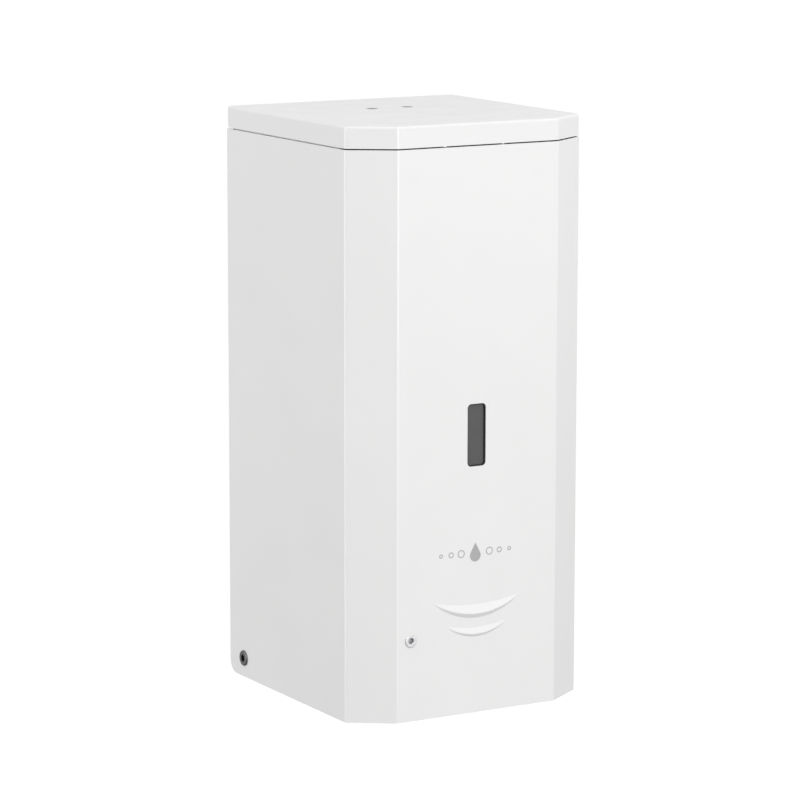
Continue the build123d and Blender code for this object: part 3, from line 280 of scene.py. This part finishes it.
def cell_sleeve():
    """Printed sleeve of a battery: a dark body and a warm band at one end."""
    finish = Finish("cell_sleeve", coat_weight=0.4, coat_roughness=0.12, metallic=0.3)
    bare, warm, dark = (0.5, 0.5, 0.48), (0.75, 0.30, 0.05), (0.02, 0.025, 0.03)
    place = along_y(finish, "batteries")
    finish.colour(finish.ramp(place, (0.03, bare), (0.05, warm), (0.26, warm), (0.27, dark), (0.95, dark),
                              (0.97, bare)))
    finish.gloss(0.25, 0.38, 150.0)
    return finish.relief(0.004 * MM, 400.0).material


def paint_nodes(material, *nodes):
    for name in nodes:
        slots = NODES[name].data.materials
        slots.clear()
        slots.append(material)


# --- finishes of the CAD parts --------------------------------------------------------------------------------------

ALONG_X, ALONG_Y, ALONG_Z = (0.03, 1, 1), (1, 0.03, 1), (1, 1, 0.03)

paint_nodes(powder_coat("casing_paint", PAINT_WHITE), "front_cover", "top_lid")
paint_nodes(sheet_metal("zinc_sheet", (0.60, 0.61, 0.62), ALONG_Z), "back_plate", "tank_clips", "window_retainer")
paint_nodes(sheet_metal("zinc_sheet_deep", (0.58, 0.59, 0.60), ALONG_Y), "latch_lever", "latch_bracket")
paint_nodes(plated("zinc_fastener", (0.66, 0.66, 0.67)), "lid_screws", "pivot_washers", "pivot_nuts",
            "housing_screws", "small_screws", "gear_screws", "retainer_nuts", "catch_rivets")
paint_nodes(plated("dark_screw", (0.13, 0.13, 0.135), rough=(0.3, 0.45)), "pivot_screws")
paint_nodes(plated("spring_steel", (0.50, 0.50, 0.52)), "cover_catch", "latch_spring", "hose_clips")
paint_nodes(plated("bright_pin", (0.72, 0.73, 0.74), rough=(0.08, 0.18)), "latch_pin", "roller_pins", "rotor_shaft",
            "idler_pin", "motor_shaft")
paint_nodes(moulded("housing_plastic", (0.60, 0.61, 0.61)), "base_housing")
paint_nodes(moulded("tank_plastic", (0.80, 0.82, 0.82), rough=(0.3, 0.42), texture=0.02, transmission_weight=0.35,
                    subsurface_weight=0.4, subsurface_scale=0.01), "soap_tank")
paint_nodes(moulded("cap_plastic", (0.03, 0.12, 0.32), rough=(0.25, 0.4)), "filler_cap")
paint_nodes(moulded("pad_plastic", (0.05, 0.05, 0.055)), "latch_pads")
paint_nodes(clear("smoke_lens", grey(0.062), rough=(0.12, 0.2)), "level_window")
paint_nodes(clear("clear_plastic", (0.85, 0.88, 0.90), transmission_weight=0.92), "pump_cover")
paint_nodes(clear("light_pipe", (0.20, 0.20, 0.21), rough=(0.15, 0.25)), "light_pipe")
paint_nodes(elastomer("black_rubber", grey(0.02)), "window_gasket", "filler_seal", "tank_seal")
paint_nodes(elastomer("silicone", (0.70, 0.68, 0.62), rough=(0.35, 0.5), transmission_weight=0.3,
                      subsurface_weight=0.3, subsurface_scale=0.003), "pump_hose", "nozzle_valve")
paint_nodes(moulded("pump_plastic", (0.10, 0.11, 0.12)), "pump_body", "inlet_fitting", "nozzle")
paint_nodes(moulded("acetal", (0.78, 0.76, 0.70), rough=(0.3, 0.4)), "rotor", "roller_1", "roller_2", "roller_3",
            "rotor_gear", "idler_gear")
paint_nodes(plated("brass_gear", (0.72, 0.50, 0.20)), "motor_pinion")
paint_nodes(sheet_metal("gear_plate", (0.70, 0.71, 0.72), ALONG_X), "gear_plate")
paint_nodes(sheet_metal("motor_can", (0.62, 0.62, 0.62), ALONG_Y, rough=(0.2, 0.3)), "motor")
paint_nodes(plated("bezel_metal", (0.58, 0.58, 0.59), rough=(0.42, 0.55)), "light_bezel", "bezel_nut")
paint_nodes(moulded("battery_plastic", (0.03, 0.03, 0.032)), "battery_case", "battery_door")
paint_nodes(cell_sleeve(), "batteries")
paint_nodes(plated("contact_nickel", (0.70, 0.68, 0.62)), "battery_contacts")
paint_nodes(circuit_green(), "circuit_board")
paint_nodes(moulded("component_black", (0.025, 0.025, 0.027)), "board_parts", "hand_sensor")
paint_nodes(lamp_on_riser(), "status_led")
paint_nodes(clear("filter_black", (0.012, 0.006, 0.010)), "sensor_window")
paint_nodes(moulded("lead_sleeve", (0.45, 0.03, 0.03), rough=(0.3, 0.4), texture=0.004), "inner_leads")


# --- printed pictogram ----------------------------------------------------------------------------------------------


PRINT_HALF_THICKNESS = 0.01 * MM


def flat_piece(name, outlines, y, material, body):
    """One thin printed layer: closed outlines in the XZ plane, facing -Y."""
    curve = bpy.data.curves.new(name, "CURVE")
    curve.dimensions = "2D"
    curve.fill_mode = "BOTH"
    curve.extrude = PRINT_HALF_THICKNESS
    for points in outlines:
        spline = curve.splines.new("POLY")
        spline.points.add(len(points) - 1)
        for point, (x, z) in zip(spline.points, points):
            point.co = (x, z, 0, 1)
        spline.use_cyclic_u = True
    piece = bpy.data.objects.new(name, curve)
    bpy.context.scene.collection.objects.link(piece)
    piece.matrix_world = Matrix.Translation((0, y, 0)) @ Matrix.Rotation(math.pi / 2, 4, "X")
    bpy.context.view_layer.update()
    mesh = bpy.data.meshes.new_from_object(piece.evaluated_get(bpy.context.evaluated_depsgraph_get()))
    solid = bpy.data.objects.new(name, mesh)
    bpy.context.scene.collection.objects.link(solid)
    solid.matrix_world = piece.matrix_world
    bpy.data.objects.remove(piece)
    mesh.materials.clear()
    mesh.materials.append(material)
    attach(solid, body)
    return solid


def ring_points(x, z, r, count=40, start=0.0, turn=2 * math.pi):
    steps = count if turn >= 2 * math.pi else count - 1
    angles = [start + turn * k / steps for k in range(count)]
    return [(x + r * math.cos(a), z + r * math.sin(a)) for a in angles]


def drop_points(x, z, r):
    """A droplet: a round bottom drawn up to a point."""
    side = ring_points(x, z, r, 30, math.radians(150), math.radians(240))
    return [(x, z + 2.1 * r), *side]


# The mark: a droplet, and three shrinking bubbles on each side of it
MARK_X = -1.0 * MM
MARK_Z = BASE_Z + 76.0 * MM
DROP_R = 2.9 * MM
DROP_FALL = 1.4 * MM
BUBBLE_RADII = (1.9, 1.4, 1.0)
BUBBLE_FIRST = 7.6
BUBBLE_STEP = 5.4
BUBBLE_STROKE = 0.5
PRINT_GAP = 0.012 * MM

print_grey = moulded("print_grey", grey(0.27), rough=(0.35, 0.5), texture=0.004)
outlines = [drop_points(MARK_X, MARK_Z - DROP_FALL, DROP_R)]
for side in (-1, 1):
    for k, radius in enumerate(BUBBLE_RADII):
        centre_x = MARK_X + side * (BUBBLE_FIRST + BUBBLE_STEP * k) * MM
        outlines.append(ring_points(centre_x, MARK_Z, radius * MM))
        outlines.append(ring_points(centre_x, MARK_Z, (radius - BUBBLE_STROKE) * MM))
flat_piece("pictogram", outlines, FRONT_Y - PRINT_GAP, print_grey, "cover")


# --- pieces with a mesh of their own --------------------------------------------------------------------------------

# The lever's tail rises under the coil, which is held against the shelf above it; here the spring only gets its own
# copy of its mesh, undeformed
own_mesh(NODES["latch_spring"])


# --- floor, light and camera ----------------------------------------------------------------------------------------


def studio_floor():
    bpy.ops.mesh.primitive_plane_add(size=FLOOR_SIZE, location=(0, 0, BASE_Z - FLOOR_DROP))
    floor = bpy.context.object
    floor.name = "floor"
    finish = Finish("floor_white", roughness=0.8)
    finish.mottle(grey(FLOOR_WHITE), 0.004, 0.8)
    floor.data.materials.append(finish.material)
    floor.visible_diffuse = False
    floor.visible_glossy = False


def studio_lights():
    centre = Vector((0, FRONT_Y / 2, (COVER_LOW.z + COVER_HIGH.z) / 2))
    for name, (azimuth, elevation, distance, width, height, power) in LIGHTS.items():
        a, e = math.radians(azimuth), math.radians(elevation)
        towards = Vector((math.sin(a) * math.cos(e), -math.cos(a) * math.cos(e), math.sin(e)))
        light = bpy.data.lights.new(name, "AREA")
        light.shape = "RECTANGLE"
        light.size, light.size_y = width, height
        light.energy = power
        lamp = bpy.data.objects.new(name, light)
        lamp.location = centre + towards * distance
        lamp.rotation_euler = towards.to_track_quat("Z", "Y").to_euler()
        lamp.visible_camera = False
        bpy.context.scene.collection.objects.link(lamp)


def studio_world():
    """Even white surroundings, darker below the horizon."""
    world = bpy.data.worlds.new("studio")
    world.use_nodes = True
    nodes, links = world.node_tree.nodes, world.node_tree.links
    coords = nodes.new("ShaderNodeTexCoord")
    split = nodes.new("ShaderNodeSeparateXYZ")
    ramp = nodes.new("ShaderNodeValToRGB")
    height = nodes.new("ShaderNodeMapRange")
    height.inputs["From Min"].default_value = -1.0
    links.new(coords.outputs["Generated"], split.inputs["Vector"])
    links.new(split.outputs["Z"], height.inputs["Value"])
    links.new(height.outputs["Result"], ramp.inputs["Fac"])
    links.new(ramp.outputs["Color"], nodes["Background"].inputs["Color"])
    low, high = ramp.color_ramp.elements
    low.position, low.color = RAMP_LOW, (GROUND, GROUND, GROUND, 1)
    high.position, high.color = RAMP_HIGH, (1, 1, 1, 1)
    nodes["Background"].inputs["Strength"].default_value = SKY
    bpy.context.scene.world = world


def camera():
    back = Vector((math.sin(AZIMUTH) * math.cos(ELEVATION), -math.cos(AZIMUTH) * math.cos(ELEVATION),
                   math.sin(ELEVATION)))
    right = Vector((math.cos(AZIMUTH), math.sin(AZIMUTH), 0))
    up = back.cross(right)
    base = Vector((0, 0, BASE_Z))
    turn = Matrix((right, up, back)).transposed().to_4x4()
    place = Matrix.Translation(base + right * AIM_RIGHT + up * AIM_UP + back * CAMERA_DISTANCE)
    lens = bpy.data.cameras.new("camera")
    lens.sensor_width = SENSOR
    lens.lens = LENS
    lens.clip_start, lens.clip_end = CLIP_NEAR, CLIP_FAR
    made = bpy.data.objects.new("camera", lens)
    made.matrix_world = place @ turn @ Matrix.Rotation(-ROLL, 4, "Z")
    bpy.context.scene.collection.objects.link(made)
    bpy.context.scene.camera = made


studio_floor()
studio_lights()
studio_world()
camera()
bpy.context.scene.view_settings.view_transform = "Standard"

bpy.context.view_layer.update()
